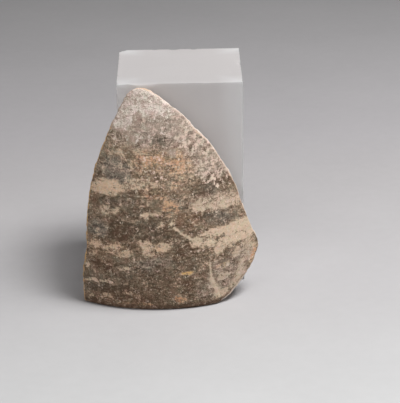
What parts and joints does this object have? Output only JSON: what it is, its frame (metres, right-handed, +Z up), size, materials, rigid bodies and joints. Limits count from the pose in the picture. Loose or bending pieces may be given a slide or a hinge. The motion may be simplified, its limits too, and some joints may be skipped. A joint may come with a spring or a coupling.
{
  "type": "display block with leaning potsherd",
  "caption": "Frosted acrylic display block on end, with a curved clay rim fragment standing on its lip and leaning on the block's front face.",
  "frame": {"origin": "centre of the display block's underside, on the table", "axes": "+Z up, -Y out of the block's front face towards the sherd and the viewer, +X to the viewer's right"},
  "size_m": [0.0537, 0.0613, 0.064],
  "materials": {
    "frosted_acrylic": "translucent cast acrylic, sanded to an even frost on every face, edges slightly softened",
    "slipped_clay": "fired clay under a dark grey-brown slip, brushed on in horizontal bands and worn through to cream and orange clay; pale breaks"
  },
  "bodies": {
    "block": {"display_block": "frosted_acrylic"},
    "sherd": {"sherd": "slipped_clay"}
  },
  "joints": [
    {"name": "sherd_lift", "type": "slide", "parent": "block", "child": "sherd", "axis": [0, 0, 1], "range_m": [0, 0.075]}
  ]
}
